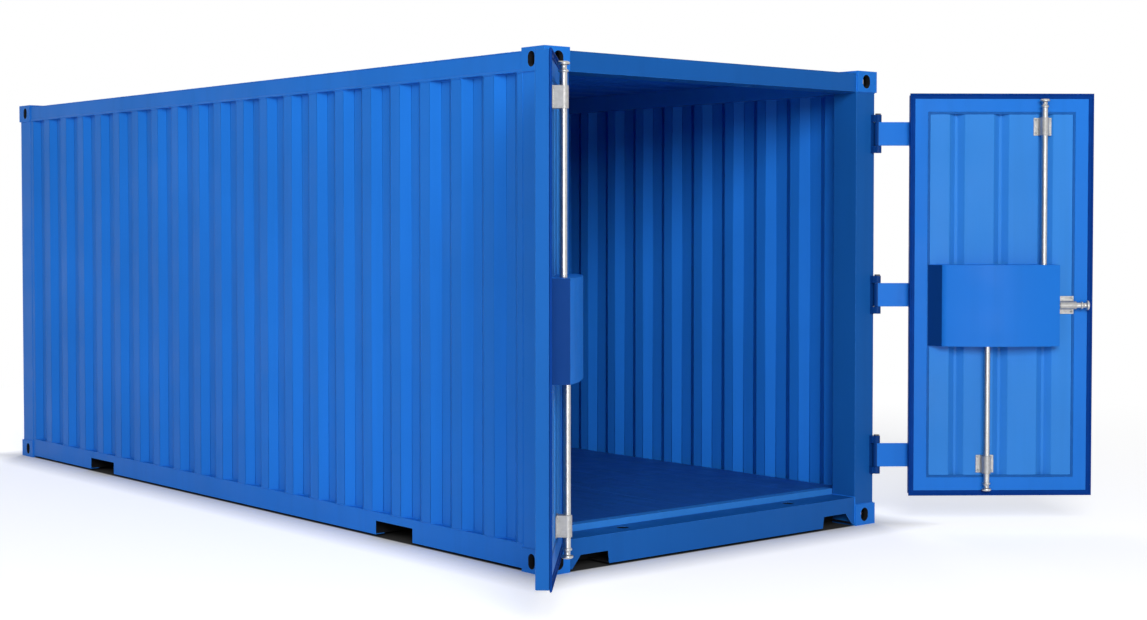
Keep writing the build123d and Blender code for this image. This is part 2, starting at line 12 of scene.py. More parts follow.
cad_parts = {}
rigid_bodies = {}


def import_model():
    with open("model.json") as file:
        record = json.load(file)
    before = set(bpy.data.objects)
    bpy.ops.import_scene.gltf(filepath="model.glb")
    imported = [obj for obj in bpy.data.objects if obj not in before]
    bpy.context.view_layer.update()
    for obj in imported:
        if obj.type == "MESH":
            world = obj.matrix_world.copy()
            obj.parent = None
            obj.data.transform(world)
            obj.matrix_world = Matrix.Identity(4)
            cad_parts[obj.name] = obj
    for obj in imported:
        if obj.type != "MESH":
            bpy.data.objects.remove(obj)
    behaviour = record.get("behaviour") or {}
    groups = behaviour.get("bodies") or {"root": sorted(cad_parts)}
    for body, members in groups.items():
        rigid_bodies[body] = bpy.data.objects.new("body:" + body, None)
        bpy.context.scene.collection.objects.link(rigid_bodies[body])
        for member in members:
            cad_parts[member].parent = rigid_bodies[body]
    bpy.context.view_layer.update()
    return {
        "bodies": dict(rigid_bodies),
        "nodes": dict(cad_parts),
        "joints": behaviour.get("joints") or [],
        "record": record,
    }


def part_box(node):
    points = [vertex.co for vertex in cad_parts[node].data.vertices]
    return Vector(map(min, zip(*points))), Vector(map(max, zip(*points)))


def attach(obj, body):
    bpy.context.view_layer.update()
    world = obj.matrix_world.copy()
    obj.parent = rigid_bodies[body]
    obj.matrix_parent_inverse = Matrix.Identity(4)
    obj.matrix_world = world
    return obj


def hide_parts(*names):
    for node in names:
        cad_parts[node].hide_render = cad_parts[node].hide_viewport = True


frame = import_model()

bl_info = {
    "name": "Shipping Container Dressing",
    "version": (1, 0, 0),
    "blender": (4, 5, 0),
    "location": "3D View > Sidebar > Container",
    "description": "Paints the container and adds its welds, boards, seals and lock hardware",
    "category": "Object",
}

# Corrugation of the side walls, as in the CAD model
WALL_BAYS = 21
WALL_RIDGE = 0.084
WALL_SLOPE = 0.058
WALL_DEPTH = 0.036
END_BAYS = 8

# Hinge knuckles, beam skins, guide plates, castings and lock hoods, as in the CAD model
KNUCKLE_REACH = 0.0215
SKIN_DEPTH = 0.003
GUIDE_PLATE = 0.005
CASTING_SIZE = Vector((0.178, 0.162, 0.118))
HOOD_CHEEK = 0.064

# Parts of one door node further apart than this are separate
PART_GAP = 0.3

# CAD nodes: points this near are one, faces this flat are one, and edges sharper than this are rounded
MERGE_REACH = 0.00005
FLAT_ANGLE = math.radians(0.4)
ROUND_ANGLE = math.radians(35)

# How far chalky paint reaches from the edges of frames, thin sheets and hinge lugs
FRAME_WEAR = 0.004
SHEET_WEAR = 0.0008
LUG_WEAR = 0.003

# Screws and rivets: how deep a head sits, and how far from an edge a row runs
HEAD_SINK = 0.0005
BOARD_INSET = 0.06
BOARD_SCREWS = 4
MEMBER_GAP = 0.15
MEMBER_HALF = 0.02
THRESHOLD_INSET = 0.08
THRESHOLD_SCREWS = 12
RIVET_INSET = 0.022
RIVET_SINK = 0.0001
RIVET_RADIUS = 0.005
RIVET_HEIGHT = 0.002

# Door seals, the bead round a door sheet, and lock bolts
SEAL_WIDTH = 0.030
SEAL_FLANGE = 0.0075
BEAD_WIDTH = 0.014
BEAD_RISE = 0.0035
BOLT_RADIUS = 0.017
BOLT_COLLAR = 0.006

# Weld beads: sides of a bead, how much its ripples differ and how thin it ends
WELD_SIDES = 6
WELD_RIPPLE = 0.14
WELD_TIP = 0.45

# Ends of the weld across the roof, and the bead's height over the rails
ROOF_WELD_END = 1.05
ROOF_WELD_RISE = 0.002

# Rail lips: how deep they root in the rail, and how far they stop short of its ends
LIP_ROOT = 0.002
LIP_END_GAP = 0.004

# Lamps as their place, the point they shine at and their size
KEY_LAMP = ((13.2, -7.8, 5.6), (1.5, 0.0, 1.2), (6.0, 4.5))
SIDE_LAMP = ((-3.0, -9.0, 4.0), (-2.5, -1.2, 1.2), (6.0, 4.0))
BACK_LAMP = ((-10.0, 7.5, 5.5), (-1.5, 0.5, 1.2), (6.0, 4.5))
GLINT_LAMP = ((14.0, -5.5, 1.3), (3.6, 0.0, 1.2), (4.0, 2.0))

# Stage: half the floor's width, where its white begins and is full, and the camera's sensor and reach
FLOOR_HALF = 60.0
WHITE_FROM = 4.2
WHITE_FULL = 8.5
SENSOR_WIDTH = 36.0
CAMERA_REACH = 200.0

JOINTS = {joint["name"]: joint for joint in frame["joints"]}
SLOT_OF_NODE = {row["node"]: row["material_slot"] for row in frame["record"]["subparts"]}
SIDES = ("left", "right")
SIDE_SIGNS = (("left", -1), ("right", 1))

# CAD nodes, or the ends of their names, by the finish that they share
UNDERFRAME = ("cross_members", "fork_pocket_door_end", "fork_pocket_closed_end")
# The door end's frame is painted darker than the walls, as painted shade
END_FRAME = ("door_header", "door_sill", "left_door_post", "right_door_post")
SHEETS = ("side_wall", "end_wall", "roof_panel", "roof_end_plates", "lock_hood")
# Door sheets and threshold get paler paint: partly bleaching, partly painted sheen
BLEACHED_AND_SHEEN = ("door_panel", "threshold_plate")


def leaf_matrix(side):
    """Turns a piece drawn on the closed right-hand leaf to where that door rests."""
    hinge = JOINTS[side + "_door_hinge"]
    pin = Matrix.Translation(Vector((hinge["pos_m"][0], hinge["pos_m"][1], 0)))
    opened = math.radians(-hinge["range_deg"][0]) * hinge["axis"][2]
    turn = pin @ Matrix.Rotation(opened, 4, "Z") @ pin.inverted()
    if side == "left":
        return turn @ Matrix.Scale(-1, 4, Vector((0, 1, 0)))
    return turn


def box_of(spots):
    """Lowest and highest corner of some points."""
    low = Vector([min(spot[axis] for spot in spots) for axis in range(3)])
    high = Vector([max(spot[axis] for spot in spots) for axis in range(3)])
    return low, high


def leaf_points(side, name):
    """Points of a door's CAD node when that door is closed and drawn on the right."""
    back = leaf_matrix(side).inverted()
    return [back @ vertex.co for vertex in frame["nodes"][side + "_" + name].data.vertices]


def boxes_up_leaf(side, name):
    """Boxes of a door node's separate parts, one above the other, on the closed right-hand leaf."""
    spots = sorted(leaf_points(side, name), key=lambda spot: spot.z)
    groups = [[spots[0]]]
    for spot in spots[1:]:
        if spot.z - groups[-1][-1].z > PART_GAP:
            groups.append([])
        groups[-1].append(spot)
    return [box_of(group) for group in groups]


def casting_boxes(name):
    """Boxes of the four corner castings of one level."""
    low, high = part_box(name)
    boxes = []
    for x, x_in in ((low.x, CASTING_SIZE.x), (high.x, -CASTING_SIZE.x)):
        for y, y_in in ((low.y, CASTING_SIZE.y), (high.y, -CASTING_SIZE.y)):
            boxes.append(box_of([(x, y, low.z), (x + x_in, y + y_in, high.z)]))
    return boxes


def leaf_box(side, name):
    """Box of a door's CAD node when that door is closed and drawn on the right."""
    return box_of(leaf_points(side, name))


class ContainerFinish(bpy.types.PropertyGroup):
    """Colours and finishes of the container"""

    paint_colour: FloatVectorProperty(
        name="Paint", description="Colour of the painted steel",
        subtype="COLOR", size=3, min=0, max=1, default=(0.014, 0.176, 0.66),
    )
    worn_colour: FloatVectorProperty(
        name="Worn edge", description="Chalky paint along edges",
        subtype="COLOR", size=3, min=0, max=1, default=(0.07, 0.32, 0.86),
    )
    # Paler paint for the door sheets and the threshold: partly sun-bleaching, partly painted sheen
    bleached_and_sheen_colour: FloatVectorProperty(
        name="Bleached paint", description="Paler paint on the door sheets and the threshold",
        subtype="COLOR", size=3, min=0, max=1, default=(0.034, 0.228, 0.68),
    )
    # Darkens the door end's paint against the walls: painted shade on the frame of the door end
    painted_end_shade: FloatProperty(
        name="End frame shade", description="How dark the paint of the door end is against the walls",
        subtype="FACTOR", min=0, max=1, default=0.58,
    )
    # Dark paint that stands as painted shade on the hinge lugs, the hinge knuckles and the ends of the lock
    # hoods
    lug_shade_colour: FloatVectorProperty(
        name="Hinge lug", description="Darkest paint, on the hinge lugs and the ends of the lock hoods",
        subtype="COLOR", size=3, min=0, max=1, default=(0.003, 0.040, 0.19),
    )
    bolt_colour: FloatVectorProperty(
        name="Bolt steel", description="Colour of the bright lock bolts",
        subtype="COLOR", size=3, min=0, max=1, default=(0.52, 0.515, 0.505),
    )
    steel_colour: FloatVectorProperty(
        name="Galvanised steel", description="Colour of the guides, screws and pins",
        subtype="COLOR", size=3, min=0, max=1, default=(0.44, 0.435, 0.425),
    )
    # Black of the tar coat under the floor, also used as painted shade inside the castings and the door sill
    underseal_and_shade_colour: FloatVectorProperty(
        name="Underseal", description="Colour of the tar coat under the floor",
        subtype="COLOR", size=3, min=0, max=1, default=(0.010, 0.010, 0.011),
    )
    seal_colour: FloatVectorProperty(
        name="Seal", description="Colour of the rubber round each leaf",
        subtype="COLOR", size=3, min=0, max=1, default=(0.002, 0.038, 0.23),
    )
    board_colour: FloatVectorProperty(
        name="Boards", description="Colour of the painted floor boards",
        subtype="COLOR", size=3, min=0, max=1, default=(0.012, 0.085, 0.36),
    )
    paint_roughness: FloatProperty(
        name="Paint roughness", description="Middle value of the paint's roughness",
        subtype="FACTOR", min=0, max=1, default=0.42,
    )


class ContainerDetails(bpy.types.PropertyGroup):
    """Sizes of the added details"""

    casting_round: FloatProperty(
        name="Casting rounding", description="Edge rounding of the corner castings",
        unit="LENGTH", default=0.006,
    )
    frame_round: FloatProperty(
        name="Frame rounding", description="Edge rounding of posts, rails and beams",
        unit="LENGTH", default=0.004,
    )
    fitting_round: FloatProperty(
        name="Fitting rounding", description="Edge rounding of hinges and covers",
        unit="LENGTH", default=0.002,
    )
    weld_radius: FloatProperty(
        name="Weld radius", description="Half the width of a weld bead",
        unit="LENGTH", default=0.004,
    )
    weld_step: FloatProperty(
        name="Weld ripple", description="Distance between two ripples of a weld bead",
        unit="LENGTH", default=0.014,
    )
    rail_lip: FloatProperty(
        name="Rail lip", description="Height of the folded lip along the top rails",
        unit="LENGTH", default=0.012,
    )
    board_gap: FloatProperty(
        name="Board gap", description="Joint between two floor panels",
        unit="LENGTH", default=0.003,
    )
    boards_across: IntProperty(
        name="Boards across", description="Floor panels side by side",
        min=1, default=2,
    )
    boards_along: IntProperty(
        name="Boards along", description="Floor panels one behind the other",
        min=1, default=5,
    )
    screw_radius: FloatProperty(
        name="Screw radius", description="Radius of the screw heads",
        unit="LENGTH", default=0.006,
    )
    rivet_pitch: FloatProperty(
        name="Rivet pitch", description="Distance between rivets of the door seals",
        unit="LENGTH", default=0.19,
    )


class ContainerStage(bpy.types.PropertyGroup):
    """Floor, light and camera"""

    floor_colour: FloatVectorProperty(
        name="Floor", description="Colour of the studio floor",
        subtype="COLOR", size=3, min=0, max=1, default=(0.97, 0.97, 0.97),
    )
    sky_strength: FloatProperty(
        name="Sky", description="Strength of the even light from all round", min=0, default=0.2,
    )
    key_power: FloatProperty(
        name="Key light", description="Power of the main soft light", unit="POWER", default=1480,
    )
    side_power: FloatProperty(
        name="Side light", description="Power of the soft light along the side wall",
        unit="POWER", default=110,
    )
    back_power: FloatProperty(
        name="Back light", description="Power of the soft light on the far side",
        unit="POWER", default=620,
    )
    glint_power: FloatProperty(
        name="Glint light", description="Power of the low light that only shows in metal and gloss",
        unit="POWER", default=380,
    )
    camera_place: FloatVectorProperty(
        name="Camera", description="Where the camera stands",
        subtype="XYZ", unit="LENGTH", size=3, default=(9.796, -6.787, 1.713),
    )
    camera_heading: FloatProperty(
        name="Heading", description="Direction the camera looks, from the long axis",
        unit="ROTATION", default=math.radians(139.64),
    )
    camera_pitch: FloatProperty(
        name="Pitch", description="Tilt of the camera above the horizon",
        unit="ROTATION", default=math.radians(-1.74),
    )
    camera_lens: FloatProperty(
        name="Lens", description="Focal length", unit="CAMERA", default=57.15,
    )
    camera_rise: FloatProperty(
        name="Lens rise", description="Vertical shift of the picture as a share of its width",
        default=-0.028,
    )


# Node materials


def add_node(tree, kind, settings=None, inputs=None):
    """One shader node with its settings and unlinked inputs."""
    made = tree.nodes.new(kind)
    for name, value in (settings or {}).items():
        setattr(made, name, value)
    for name, value in (inputs or {}).items():
        made.inputs[name].default_value = value
    return made


def noise_over(tree, source, scale, detail=2.0, stretch=None):
    """Noise on the piece's own coordinates, stretched along an axis where wanted."""
    place = source
    if stretch:
        mapping = add_node(tree, "ShaderNodeMapping", inputs={"Scale": stretch})
        tree.links.new(source, mapping.inputs["Vector"])
        place = mapping.outputs["Vector"]
    noise = add_node(tree, "ShaderNodeTexNoise", inputs={"Scale": scale, "Detail": detail})
    tree.links.new(place, noise.inputs["Vector"])
    return noise.outputs["Fac"]


def remap(tree, value, from_low, from_high, to_low, to_high):
    """Stretches a range of values to another."""
    made = add_node(
        tree, "ShaderNodeMapRange",
        inputs={"From Min": from_low, "From Max": from_high, "To Min": to_low, "To Max": to_high},
    )
    tree.links.new(value, made.inputs["Value"])
    return made.outputs["Result"]


def blend_colours(tree, factor, first, second):
    """Mixes two colours, each a socket or a plain colour, by a factor socket."""
    made = add_node(tree, "ShaderNodeMix", {"data_type": "RGBA"})
    tree.links.new(factor, made.inputs["Factor"])
    for socket, colour in ((made.inputs[6], first), (made.inputs[7], second)):
        if isinstance(colour, bpy.types.NodeSocket):
            tree.links.new(colour, socket)
        else:
            socket.default_value = (*colour, 1.0)
    return made.outputs[2]


def combine(tree, operation, *values):
    """One maths operation on one or two value sockets."""
    made = add_node(tree, "ShaderNodeMath", {"operation": operation})
    for socket, value in zip(made.inputs, values):
        tree.links.new(value, socket)
    return made.outputs["Value"]


def bump_from(tree, height, strength, distance, below=None):
    """A bump on top of another one."""
    made = add_node(tree, "ShaderNodeBump", inputs={"Strength": strength, "Distance": distance})
    tree.links.new(height, made.inputs["Height"])
    if below is not None:
        tree.links.new(below, made.inputs["Normal"])
    return made.outputs["Normal"]


def edge_share(tree, radius, low, high):
    """About one along sharp edges and zero on flat faces."""
    rounded = add_node(tree, "ShaderNodeBevel", {"samples": 4}, {"Radius": radius})
    surface = add_node(tree, "ShaderNodeNewGeometry")
    dot = add_node(tree, "ShaderNodeVectorMath", {"operation": "DOT_PRODUCT"})
    tree.links.new(rounded.outputs["Normal"], dot.inputs[0])
    tree.links.new(surface.outputs["Normal"], dot.inputs[1])
    return remap(tree, dot.outputs["Value"], high, low, 0.0, 1.0)


def shaded(colour, factor):
    """A lighter or darker tone of a colour."""
    return tuple(min(1.0, channel * factor) for channel in colour)


def start_material(name):
    """An empty material with its shader and object coordinates."""
    material = bpy.data.materials.new(name)
    material.use_nodes = True
    tree = material.node_tree
    place = add_node(tree, "ShaderNodeTexCoord").outputs["Object"]
    return material, tree, tree.nodes["Principled BSDF"], place


def feed_shader(tree, shader, colour, gloss, normal):
    """Links a colour, a roughness and a bump to a shader."""
    for name, socket in (("Base Color", colour), ("Roughness", gloss), ("Normal", normal)):
        tree.links.new(socket, shader.inputs[name])


def painted_steel(name, colour, worn, edge_reach, roughness):
    """Satin paint with faint fading, streaks, orange peel and chalky edges."""
    material, tree, shader, place = start_material(name)
    fading = remap(tree, noise_over(tree, place, 0.9, 4.0), 0.32, 0.68, 0.0, 1.0)
    tone = blend_colours(tree, fading, shaded(colour, 0.93), shaded(colour, 1.06))
    streaks = remap(tree, noise_over(tree, place, 1.0, 3.0, (13.0, 13.0, 0.5)), 0.5, 0.8, 0.0, 0.35)
    tone = blend_colours(tree, streaks, tone, shaded(colour, 0.8))
    chips = remap(tree, noise_over(tree, place, 38.0, 3.0), 0.42, 0.6, 0.1, 1.0)
    edges = combine(tree, "MULTIPLY", edge_share(tree, edge_reach, 0.9, 0.995), chips)
    edge = remap(tree, edges, 0.0, 1.0, 0.0, 0.45)
    gloss = remap(tree, noise_over(tree, place, 4.5, 4.0), 0.3, 0.7, roughness - 0.06, roughness + 0.07)
    waves = bump_from(tree, noise_over(tree, place, 2.4, 1.0), 0.10, 0.02)
    peel = bump_from(tree, noise_over(tree, place, 260.0, 2.0), 0.06, 0.001, waves)
    feed_shader(tree, shader, blend_colours(tree, edge, tone, worn), gloss, peel)
    shader.inputs["Specular IOR Level"].default_value = 0.10
    return material


def galvanised(name, colour, metallic, roughness):
    """Zinc-coated steel with spangle and fine drawing marks."""
    material, tree, shader, place = start_material(name)
    spangle = add_node(tree, "ShaderNodeTexVoronoi", inputs={"Scale": 95.0})
    tree.links.new(place, spangle.inputs["Vector"])
    facet = add_node(tree, "ShaderNodeSeparateColor")
    tree.links.new(spangle.outputs["Color"], facet.inputs["Color"])
    tone = blend_colours(tree, facet.outputs["Red"], shaded(colour, 0.92), shaded(colour, 1.08))
    stain = remap(tree, noise_over(tree, place, 11.0, 4.0), 0.5, 0.78, 0.0, 0.3)
    gloss = remap(tree, facet.outputs["Green"], 0.0, 1.0, roughness - 0.06, roughness + 0.06)
    grain = bump_from(tree, noise_over(tree, place, 420.0, 2.0), 0.06, 0.0006)
    feed_shader(tree, shader, blend_colours(tree, stain, tone, shaded(colour, 0.62)), gloss, grain)
    shader.inputs["Metallic"].default_value = metallic
    return material


def rubber(name, colour):
    """Matt rubber with a fine grain and dusty patches."""
    material, tree, shader, place = start_material(name)
    dust = remap(tree, noise_over(tree, place, 7.0, 4.0), 0.45, 0.8, 0.0, 0.3)
    gloss = remap(tree, noise_over(tree, place, 18.0), 0.3, 0.7, 0.55, 0.75)
    grain = bump_from(tree, noise_over(tree, place, 600.0, 2.0), 0.15, 0.0008)
    feed_shader(tree, shader, blend_colours(tree, dust, colour, shaded(colour, 1.7)), gloss, grain)
    shader.inputs["Specular IOR Level"].default_value = 0.05
    return material


def tar_coat(name, colour):
    """Sprayed tar under the floor, lumpy, with duller patches; the same black stands as painted shade inside
    the castings and the door sill.
    """
    material, tree, shader, place = start_material(name)
    patches = remap(tree, noise_over(tree, place, 5.0, 4.0), 0.4, 0.75, 0.0, 1.0)
    gloss = remap(tree, patches, 0.0, 1.0, 0.6, 0.85)
    lumps = bump_from(tree, noise_over(tree, place, 85.0, 3.0), 0.3, 0.002)
    feed_shader(tree, shader, blend_colours(tree, patches, colour, shaded(colour, 2.0)), gloss, lumps)
    shader.inputs["Specular IOR Level"].default_value = 0.15
    return material


def painted_boards(name, colour):
    """Painted plywood whose grain shows through, with scuffs along the load's way."""
    material, tree, shader, place = start_material(name)
    grain = noise_over(tree, place, 1.0, 6.0, (3.0, 75.0, 75.0))
    bands = remap(tree, grain, 0.35, 0.65, 0.0, 1.0)
    tone = blend_colours(tree, bands, shaded(colour, 0.82), shaded(colour, 1.12))
    scuffs = remap(tree, noise_over(tree, place, 1.0, 5.0, (1.2, 16.0, 4.0)), 0.56, 0.74, 0.0, 0.4)
    gloss = remap(tree, noise_over(tree, place, 6.0, 3.0), 0.3, 0.7, 0.42, 0.62)
    ridges = bump_from(tree, grain, 0.2, 0.002)
    feed_shader(tree, shader, blend_colours(tree, scuffs, tone, shaded(colour, 1.7)), gloss, ridges)
    shader.inputs["Specular IOR Level"].default_value = 0.25
    return material


def seen_rays(tree):
    """One for the camera's own rays and for those that reach it by a mirror or through glass."""
    path = add_node(tree, "ShaderNodeLightPath")
    seen = path.outputs["Is Camera Ray"]
    for name in ("Is Glossy Ray", "Is Transmission Ray"):
        seen = combine(tree, "MAXIMUM", seen, path.outputs[name])
    return seen


def outside_share(tree, place, start, reach, most):
    """Zero under the container, growing to the most over a reach that starts at its edge or near it."""
    split = add_node(tree, "ShaderNodeSeparateXYZ")
    tree.links.new(place, split.inputs["Vector"])
    low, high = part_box("bottom_castings")
    away = []
    for axis, half in (("X", (high.x - low.x) / 2), ("Y", (high.y - low.y) / 2)):
        size = combine(tree, "ABSOLUTE", split.outputs[axis])
        away.append(remap(tree, size, half + start, half + start + reach, 0.0, most))
    return combine(tree, "MAXIMUM", *away)


def studio_floor(name, colour):
    """Pale floor with a painted near-black shadow under the container, that keeps shadows near it and turns
    white far away.
    """
    material, tree, shader, place = start_material(name)
    mottle = remap(tree, noise_over(tree, place, 0.6, 3.0), 0.3, 0.7, 0.0, 1.0)
    tone = blend_colours(tree, mottle, shaded(colour, 0.995), colour)
    # Painted shadow: the floor is near-black under the container's footprint
    tone = blend_colours(tree, outside_share(tree, place, -0.02, 0.015, 1.0), shaded(colour, 0.05), tone)
    tree.links.new(tone, shader.inputs["Base Color"])
    shader.inputs["Roughness"].default_value = 0.9
    shader.inputs["Specular IOR Level"].default_value = 0.1
    length = add_node(tree, "ShaderNodeVectorMath", {"operation": "LENGTH"})
    tree.links.new(place, length.inputs[0])
    far = remap(tree, length.outputs["Value"], WHITE_FROM, WHITE_FULL, 0.0, 1.0)
    white = add_node(tree, "ShaderNodeEmission", inputs={"Color": (1, 1, 1, 1), "Strength": 1.0})
    rays = seen_rays(tree)
    glow = add_node(tree, "ShaderNodeEmission", inputs={"Color": (1, 1, 1, 1)})
    lift = combine(tree, "MULTIPLY", outside_share(tree, place, 0.0, 0.3, 0.5), rays)
    tree.links.new(lift, glow.inputs["Strength"])
    lit = add_node(tree, "ShaderNodeAddShader")
    tree.links.new(shader.outputs["BSDF"], lit.inputs[0])
    tree.links.new(glow.outputs["Emission"], lit.inputs[1])
    mixed = add_node(tree, "ShaderNodeMixShader")
    tree.links.new(combine(tree, "MULTIPLY", far, rays), mixed.inputs["Fac"])
    tree.links.new(lit.outputs["Shader"], mixed.inputs[1])
    tree.links.new(white.outputs["Emission"], mixed.inputs[2])
    tree.links.new(mixed.outputs["Shader"], tree.nodes["Material Output"].inputs["Surface"])
    return material


def finish_material(slot):
    """The material of a slot, made on first use."""
    name = "container_" + slot
    made = bpy.data.materials.get(name)
    if made:
        return made
    finish = bpy.context.scene.container_finish
    paint, worn, lug = finish.paint_colour, finish.worn_colour, finish.lug_shade_colour
    paints = {
        "blue_paint": (paint, worn, FRAME_WEAR),
        "sheet_paint": (paint, worn, SHEET_WEAR),
        # Paler door sheets and threshold: partly bleached paint, partly painted sheen
        "bleached_sheen_paint": (finish.bleached_and_sheen_colour, worn, SHEET_WEAR),
        # Painted shade: the door end's frame takes the wall paint darkened by a factor
        "frame_painted_shade": (shaded(paint, finish.painted_end_shade), worn, FRAME_WEAR),
        # Painted shade on the hinge lugs, knuckles and lock hood ends, with lighter chalky edges
        "lug_painted_shade": (lug, shaded(lug, 2.5), LUG_WEAR),
    }
    if slot in paints:
        return painted_steel(name, *paints[slot], finish.paint_roughness)
    makers = {
        "bolt_steel": lambda: galvanised(name, finish.bolt_colour, 1.0, 0.36),
        "galvanised_steel": lambda: galvanised(name, finish.steel_colour, 0.7, 0.48),
        "underseal_and_hollow_shade": lambda: tar_coat(name, finish.underseal_and_shade_colour),
        "rubber_seal": lambda: rubber(name, finish.seal_colour),
        "painted_floor": lambda: painted_boards(name, finish.board_colour),
    }
    return makers[slot]()


# Mesh building


def finish_piece(name, mesh, body, slot, smooth=True):
    """Turns a finished mesh build into a piece that rides a body and has its material."""
    bmesh.ops.remove_doubles(mesh, verts=mesh.verts, dist=1e-6)
    bmesh.ops.recalc_face_normals(mesh, faces=mesh.faces)
    data = bpy.data.meshes.new(name)
    mesh.to_mesh(data)
    mesh.free()
    data.materials.append(finish_material(slot))
    data.polygons.foreach_set("use_smooth", [smooth] * len(data.polygons))
    piece = bpy.data.objects.new(name, data)
    bpy.context.scene.collection.objects.link(piece)
    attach(piece, body)
    return piece


def soften(piece, width, segments=2):
    """Rounds the sharp edges of a piece and evens out its shading."""
    if width > 0:
        bevel = piece.modifiers.new("rounded edges", "BEVEL")
        bevel.width = width
        bevel.segments = segments
        bevel.limit_method = "ANGLE"
        bevel.angle_limit = ROUND_ANGLE
        bevel.use_clamp_overlap = True
    normals = piece.modifiers.new("even shading", "WEIGHTED_NORMAL")
    normals.weight = 100
    normals.keep_sharp = False


def add_block(mesh, low, high, matrix=Matrix()):
    """A box between two corners."""
    corners = [
        mesh.verts.new(matrix @ Vector((x, y, z)))
        for x in (low[0], high[0]) for y in (low[1], high[1]) for z in (low[2], high[2])
    ]
    for loop in ((0, 1, 3, 2), (4, 6, 7, 5), (0, 4, 5, 1), (2, 3, 7, 6), (0, 2, 6, 4), (1, 5, 7, 3)):
        mesh.faces.new([corners[index] for index in loop])


def bridge_rings(mesh, rings, closed):
    """Skins a run of vertex rings, joining the last to the first where closed."""
    pairs = list(zip(rings, rings[1:]))
    if closed:
        pairs.append((rings[-1], rings[0]))
    for first, second in pairs:
        count = len(first)
        for index in range(count):
            follower = (index + 1) % count
            mesh.faces.new((first[index], first[follower], second[follower], second[index]))


def loop_round(low, high, axis, place):
    """Corners of a closed line round a box, square to one of its axes."""
    first, second = [other for other in range(3) if other != axis]
    points = []
    for near, far in ((low, low), (high, low), (high, high), (low, high), (low, low)):
        point = Vector()
        point[axis], point[first], point[second] = place, near[first], far[second]
        points.append(point)
    return points


def points_along(points, step):
    """Evenly spaced points on straight runs between the given points."""
    spaced = [points[0]]
    for start, end in zip(points, points[1:]):
        parts = max(1, round((end - start).length / step))
        spaced += [start.lerp(end, index / parts) for index in range(1, parts + 1)]
    return spaced


def add_bead(mesh, points, radius, step, up, chance, matrix=Matrix()):
    """A rippled weld bead that follows points lying square to the direction up."""
    points = points_along([Vector(point) for point in points], step)
    up = Vector(up).normalized()
    rings = []
    for index, point in enumerate(points):
        ahead = points[min(index + 1, len(points) - 1)] - points[max(index - 1, 0)]
        across = ahead.normalized().cross(up).normalized()
        size = radius * (1.0 + chance.uniform(-WELD_RIPPLE, WELD_RIPPLE))
        if index in (0, len(points) - 1):
            size *= WELD_TIP
        ring = []
        for side in range(WELD_SIDES):
            angle = math.tau * side / WELD_SIDES
            offset = across * math.cos(angle) * size + up * math.sin(angle) * size
            ring.append(mesh.verts.new(matrix @ (point + offset)))
        rings.append(ring)
    bridge_rings(mesh, rings, False)
    mesh.faces.new(rings[0])
    mesh.faces.new(rings[-1])


def add_turned(mesh, profile, base, axis, matrix=Matrix(), segments=40):
    """A turned part from (distance, radius) pairs along an axis, closed at both ends."""
    axis = Vector(axis).normalized()
    across = axis.orthogonal().normalized()
    other = axis.cross(across)
    base = Vector(base)
    rings = []
    for distance, radius in profile:
        ring = []
        for index in range(segments):
            angle = math.tau * index / segments
            spot = base + axis * distance + (across * math.cos(angle) + other * math.sin(angle)) * radius
            ring.append(mesh.verts.new(matrix @ spot))
        rings.append(ring)
    bridge_rings(mesh, rings, False)
    mesh.faces.new(rings[0])
    mesh.faces.new(rings[-1])


def add_screw(mesh, spot, axis, radius, height, matrix=Matrix()):
    """A low domed head with a dished drive."""
    profile = (
        (0.0, radius), (height * 0.45, radius * 0.98), (height * 0.85, radius * 0.75),
        (height, radius * 0.42), (height * 0.55, radius * 0.34), (height * 0.5, radius * 0.04),
    )
    add_turned(mesh, profile, spot, axis, matrix, 12)


def add_extrusion(mesh, section, start, end, matrix=Matrix()):
    """A solid from a list of section points given at two ends by functions of a point."""
    first = [mesh.verts.new(matrix @ Vector(start(point))) for point in section]
    second = [mesh.verts.new(matrix @ Vector(end(point))) for point in section]
    bridge_rings(mesh, [first, second], False)
    mesh.faces.new(first)
    mesh.faces.new(second)


def add_leaf_ring(mesh, section, low, high, matrix):
    """A mitred frame round a leaf from (inset, depth) section points."""
    rings = []
    for y_end, z_end in ((0, 0), (1, 0), (1, 1), (0, 1)):
        ring = []
        for inset, depth in section:
            y = high.y - inset if y_end else low.y + inset
            z = high.z - inset if z_end else low.z + inset
            ring.append(mesh.verts.new(matrix @ Vector((depth, y, z))))
        rings.append(ring)
    bridge_rings(mesh, rings, True)


def corrugation(length, bays, outer, depth):
    """Corners of a corrugated sheet's outer face as (along, across) pairs."""
    step = length / bays
    trough = step - WALL_RIDGE - 2 * WALL_SLOPE
    points = [(-length / 2, outer)]
    for bay in range(bays):
        start = -length / 2 + bay * step + WALL_RIDGE / 2
        points += [
            (start, outer),
            (start + WALL_SLOPE, outer - depth),
            (start + WALL_SLOPE + trough, outer - depth),
            (start + 2 * WALL_SLOPE + trough, outer),
        ]
    return points + [(length / 2, outer)]


# Operators


